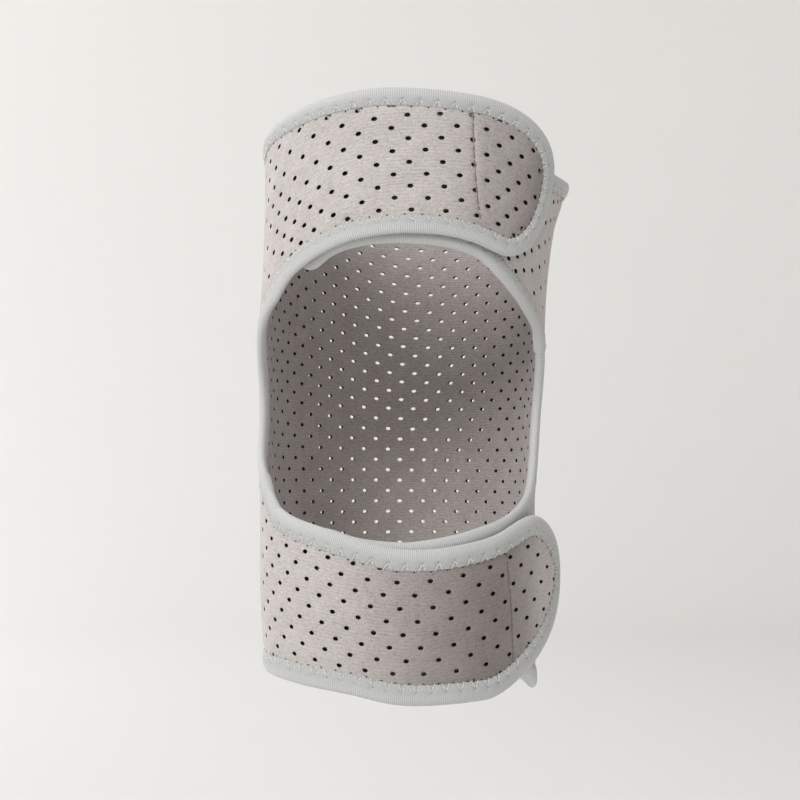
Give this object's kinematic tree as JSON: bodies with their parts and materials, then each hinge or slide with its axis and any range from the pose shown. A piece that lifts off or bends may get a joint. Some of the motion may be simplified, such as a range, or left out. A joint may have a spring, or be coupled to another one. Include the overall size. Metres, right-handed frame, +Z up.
{
  "type": "knee support",
  "caption": "Wrap-around open-patella knee support of perforated foam laminate, with crossing front straps that end in rounded hook-and-loop tabs and a stretch-bound edge.",
  "frame": {"origin": "middle of the knee, on the axis of the leg that the wrap goes round", "axes": "+Z up the leg, -Y out through the kneecap opening, +X to the side where the tabs end"},
  "size_m": [0.1297, 0.1414, 0.2452],
  "materials": {
    "laminate": "warm grey brushed loop knit on black foam, perforated",
    "stretch_tape": "light cool grey ribbed stretch binding, matt",
    "hook_tape": "grey woven hook tape"
  },
  "bodies": {
    "root": {"wrap_sheet": "laminate", "binding_upper": "stretch_tape", "binding_lower": "stretch_tape", "hook_patch_upper": "hook_tape", "hook_patch_lower": "hook_tape"}
  },
  "joints": []
}
